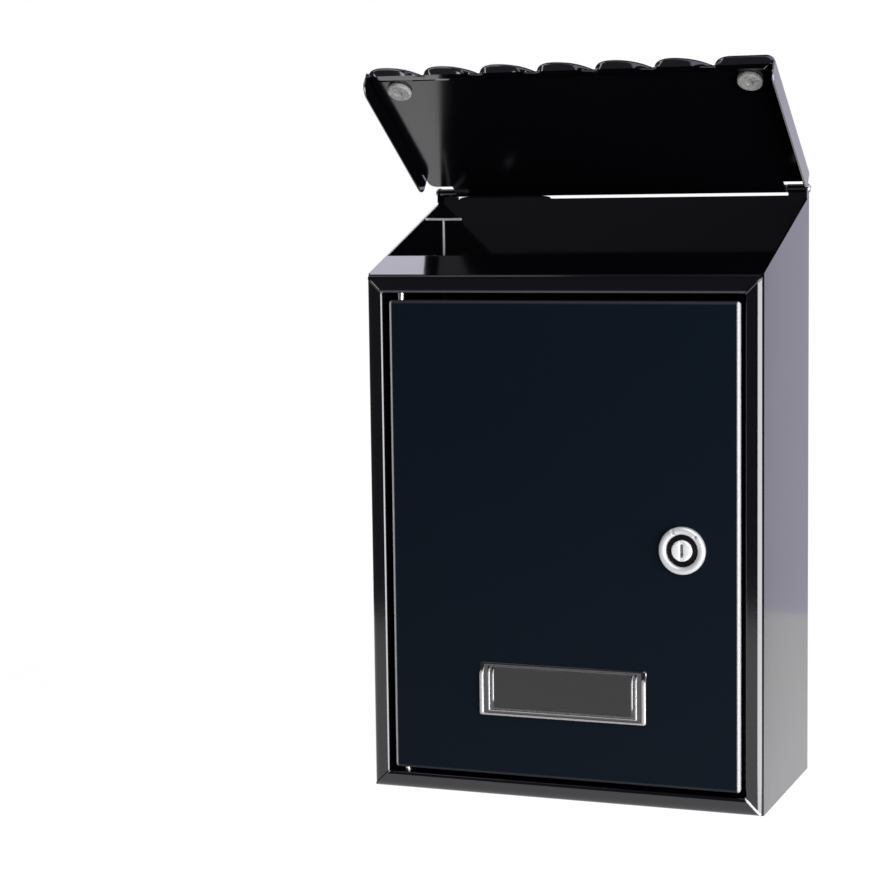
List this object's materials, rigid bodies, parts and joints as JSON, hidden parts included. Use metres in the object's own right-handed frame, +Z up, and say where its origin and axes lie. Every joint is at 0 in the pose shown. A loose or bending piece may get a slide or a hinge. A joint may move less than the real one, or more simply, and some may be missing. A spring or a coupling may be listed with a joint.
{
  "type": "wall mounted mailbox",
  "caption": "Wall letter box of folded sheet steel with a hinged roof tile lid over a sloping slot, a framed front door on pivots, a cam lock and a name holder.",
  "frame": {"origin": "middle of the four wall screw holes, on the wall face of the back panel", "axes": "+X to the right seen from the front, +Y into the wall, +Z up"},
  "size_m": [0.2164, 0.1035, 0.375],
  "materials": {
    "black_paint": "glossy black powder coat",
    "door_paint": "glossy blue-black powder coat",
    "bright_steel": "zinc plated steel",
    "lock_chrome": "bright chrome",
    "grey_rubber": "matt grey",
    "black_plastic": "glossy black",
    "clear_plastic": "clear sheet",
    "card": "plain dark card"
  },
  "bodies": {
    "box": {"left_side_panel": "black_paint", "right_side_panel": "black_paint", "bottom_panel": "black_paint", "back_panel": "black_paint", "front_top_rail": "black_paint", "lid_hinge_rod": "bright_steel"},
    "lid": {"lid_inner_plate": "black_paint", "lid_tile_roof": "black_paint", "lid_bumper_left": "grey_rubber", "lid_bumper_right": "grey_rubber"},
    "door": {"door_panel": "door_paint", "door_pin_upper": "bright_steel", "door_pin_lower": "bright_steel", "name_holder": "black_plastic", "name_window": "clear_plastic", "name_card": "card", "lock_housing": "lock_chrome", "lock_nut": "bright_steel"},
    "lock": {"lock_plug": "lock_chrome", "lock_cam": "bright_steel", "cam_washer": "bright_steel", "cam_screw": "bright_steel"}
  },
  "joints": [
    {"name": "lid_hinge", "type": "hinge", "parent": "box", "child": "lid", "pos_m": [0, -0.00227, 0.1491], "axis": [-1, 0, 0], "range_deg": [-55.9, 40]},
    {"name": "door_hinge", "type": "hinge", "parent": "box", "child": "door", "pos_m": [-0.088, -0.096, 0], "axis": [0, 0, -1], "range_deg": [0, 110]},
    {"name": "lock_turn", "type": "hinge", "parent": "door", "child": "lock", "pos_m": [0.064, -0.09, -0.031], "axis": [0, -1, 0], "range_deg": [0, 90]}
  ]
}
